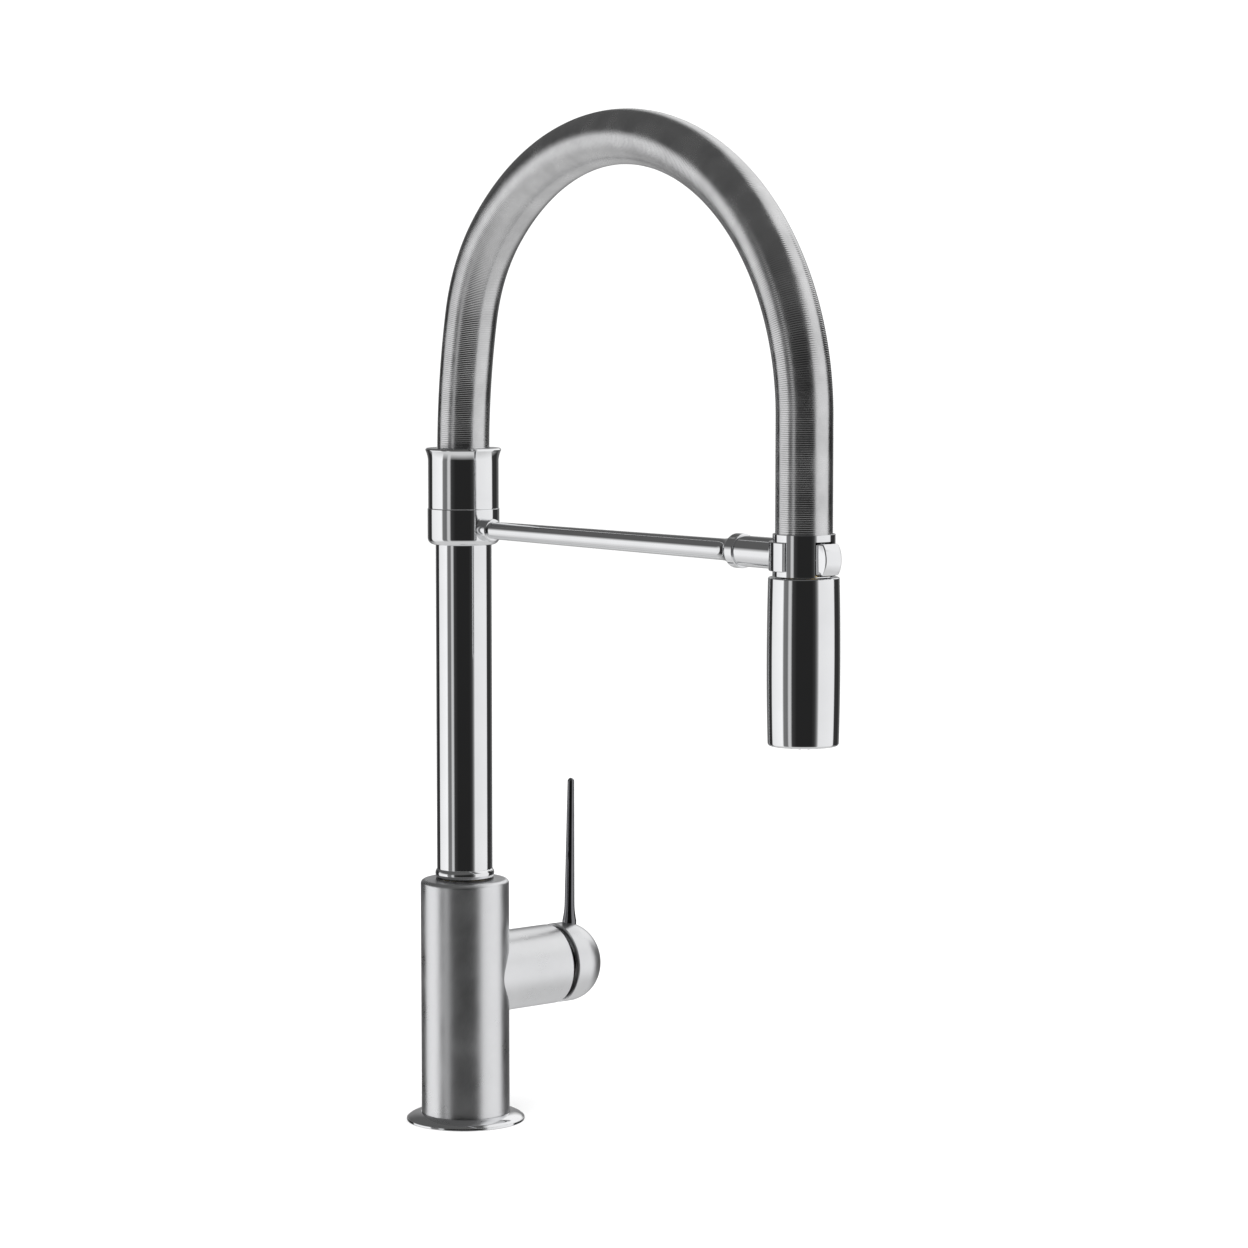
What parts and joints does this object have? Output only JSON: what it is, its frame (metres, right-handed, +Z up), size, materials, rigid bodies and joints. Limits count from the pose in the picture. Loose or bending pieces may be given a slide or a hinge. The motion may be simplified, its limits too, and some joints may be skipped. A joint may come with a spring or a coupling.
{
  "type": "pull-down kitchen faucet",
  "caption": "Tall kitchen faucet: post and ribbed sleeve arch, arm docking a pull-down hand spray, side valve with a slim lever.",
  "frame": {"origin": "centre of the deck face on the post's axis", "axes": "+Z up along the post, -Y towards the hand spray, +X along the valve towards the lever"},
  "size_m": [0.1142, 0.3112, 0.6013],
  "materials": {
    "chrome": "polished",
    "satin_chrome": "soft satin",
    "ribbed_steel": "fine ribs",
    "brass": "machined",
    "steel": "plain",
    "copper": "drawn copper pipe",
    "black_plastic": "matte",
    "white_plastic": "matte",
    "grey_plastic": "satin",
    "ceramic": "lapped ceramic",
    "rubber": "moulded",
    "hose": "braided nylon"
  },
  "bodies": {
    "base": {"base_flange": "chrome", "deck_gasket": "rubber", "mounting_shank": "brass", "centring_sleeve": "black_plastic", "rubber_washer": "rubber", "steel_washer": "steel", "mounting_nut": "brass", "jack_screws": "steel", "lower_body": "satin_chrome", "waterway_core": "brass", "cold_inlet": "copper", "hot_inlet": "copper", "mixed_outlet": "copper", "lower_spray_hose": "hose", "glide_washer": "black_plastic", "valve_barrel": "satin_chrome", "cartridge_body": "white_plastic", "cartridge_seals": "rubber", "ceramic_fixed_disc": "ceramic", "cartridge_nut": "brass", "bonnet": "black_plastic"},
    "valve_rotor": {"ceramic_moving_disc": "ceramic", "cartridge_turret": "white_plastic", "stem_pin": "steel"},
    "handle": {"cartridge_stem": "steel", "handle_cap": "chrome", "handle_set_screw": "steel", "lever": "chrome"},
    "spout": {"swivel_spigot": "brass", "swivel_clip": "steel", "swivel_o_rings": "rubber", "swivel_bead": "chrome", "spout_tube": "chrome", "arm_collar": "chrome", "collar_set_screw": "steel", "sleeve_socket": "chrome", "hose_sleeve": "ribbed_steel", "spray_hose": "hose", "hose_guide": "black_plastic", "arm_root_ring": "chrome", "support_arm": "chrome", "arm_end_ring": "chrome", "arm_screw": "steel", "dock_cradle": "chrome", "dock_magnet": "steel"},
    "hose_end": {"hose_drop_leg": "hose", "hose_crimp": "steel"},
    "hand_spray": {"neck_collar": "chrome", "toggle_pin": "steel", "strike_plate": "steel", "swivel_nut": "brass", "wand_shell": "chrome", "inlet_connector": "brass", "check_valve": "white_plastic", "diverter_body": "white_plastic", "spray_face": "grey_plastic", "spray_nozzles": "rubber", "aerator": "grey_plastic"},
    "selector": {"selector_toggle": "chrome"}
  },
  "joints": [
    {"name": "spout_swivel", "type": "hinge", "parent": "base", "child": "spout", "pos_m": [0, 0, 0.1266], "axis": [0, 0, 1], "continuous": true},
    {"name": "temperature_turn", "type": "hinge", "parent": "base", "child": "valve_rotor", "pos_m": [0.0442, 0, 0.0755], "axis": [1, 0, 0], "range_deg": [-45, 45]},
    {"name": "flow_lift", "type": "hinge", "parent": "valve_rotor", "child": "handle", "pos_m": [0.0442, 0, 0.0755], "axis": [0, 1, 0], "range_deg": [0, 22]},
    {"name": "spray_pull", "type": "slide", "parent": "spout", "child": "hose_end", "axis": [0, 0, -1], "range_m": [0, 0.18], "deforming": ["hose_drop_leg"]},
    {"name": "spray_twist", "type": "hinge", "parent": "hose_end", "child": "hand_spray", "pos_m": [0, -0.26, 0.3], "axis": [0, 0, 1], "range_deg": [-50, 50]},
    {"name": "selector_rock", "type": "hinge", "parent": "hand_spray", "child": "selector", "pos_m": [0, -0.2722, 0.3083], "axis": [1, 0, 0], "range_deg": [-6, 6]}
  ]
}
